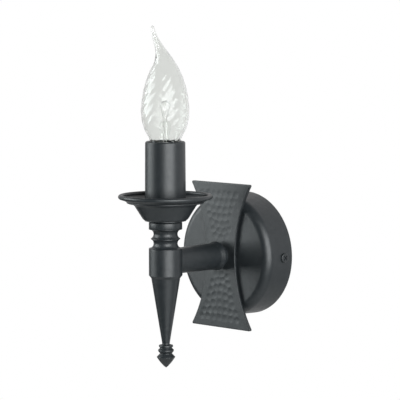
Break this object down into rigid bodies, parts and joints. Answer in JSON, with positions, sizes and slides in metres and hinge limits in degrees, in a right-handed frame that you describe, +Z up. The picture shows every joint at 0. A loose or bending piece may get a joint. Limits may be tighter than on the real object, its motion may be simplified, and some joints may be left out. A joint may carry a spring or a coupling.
{
  "type": "torch sconce",
  "caption": "Wall sconce: round backplate with a hammered plate, a short arm and an upright torch with a drip pan, candle tube, screw lampholder and bent-tip candle lamp.",
  "frame": {"origin": "centre of the wall bracket's rear face, which lies on the wall", "axes": "+Y into the wall, +Z up, +X to the right when facing the wall, so the sconce stands out along -Y"},
  "size_m": [0.0936, 0.1195, 0.2474],
  "materials": {
    "graphite": "satin graphite-black powder coat with a fine grain",
    "hammered_graphite": "satin graphite-black coat over rows of hammer dents",
    "zinc": "bright zinc-plated steel",
    "brass": "plain brass",
    "copper": "bare stranded copper",
    "white_plastic": "matt off-white polyamide",
    "black_plastic": "black moulded phenolic",
    "live_jacket": "brown wire insulation",
    "neutral_jacket": "blue wire insulation",
    "earth_jacket": "green-yellow wire insulation",
    "clear_glass": "clear glass with fine slanting ribs",
    "black_glass": "black vitrite",
    "lamp_wire": "nickel-plated lead wire",
    "filament": "coiled tungsten wire",
    "solder": "tinned contact"
  },
  "bodies": {
    "fixture": {"wall_bracket": "zinc", "side_screws": "graphite", "backplate": "graphite", "spacer_washer": "zinc", "hammered_plate": "hammered_graphite", "arm_neck": "graphite", "arm_tube": "graphite", "arm_rod": "zinc", "arm_washer": "zinc", "arm_nut": "zinc", "rod_bush": "white_plastic", "earth_stud": "zinc", "earth_tag": "brass", "earth_nut": "zinc", "block_stud": "zinc", "block_nut": "zinc", "terminal_block": "white_plastic", "terminal_inserts": "brass", "terminal_screws": "zinc", "live_wire": "live_jacket", "neutral_wire": "neutral_jacket", "earth_wire": "earth_jacket", "wire_cores": "copper", "torch_hub": "graphite", "spike_stud": "zinc", "spike": "graphite", "finial": "graphite", "torch_rod": "zinc", "cove_spool": "graphite", "drip_ring": "graphite", "drip_pan": "graphite", "torch_washer": "zinc", "torch_nut": "zinc", "holder_base": "black_plastic", "holder_body": "black_plastic", "holder_shell": "brass", "holder_centre_contact": "brass", "holder_side_contact": "brass", "holder_rivets": "brass", "candle_tube": "graphite"},
    "lamp_base": {"lamp_cap": "brass", "lamp_insulator": "black_glass", "lamp_contact": "solder"},
    "lamp_bulb": {"lamp_glass": "clear_glass", "lamp_stem": "clear_glass", "lamp_leads": "lamp_wire", "lamp_support": "lamp_wire", "lamp_filament": "filament"}
  },
  "joints": [
    {"name": "lamp_lift", "type": "slide", "parent": "fixture", "child": "lamp_base", "axis": [0, 0, 1], "range_m": [0, 0.0099]},
    {"name": "lamp_turn", "type": "hinge", "parent": "lamp_base", "child": "lamp_bulb", "pos_m": [0, -0.0854, 0.1], "axis": [0, 0, 1], "range_deg": [0, 1260]}
  ],
  "couplings": [
    {"joint": "lamp_lift", "follows": "lamp_turn", "m_per_rad": 0.00044913}
  ]
}
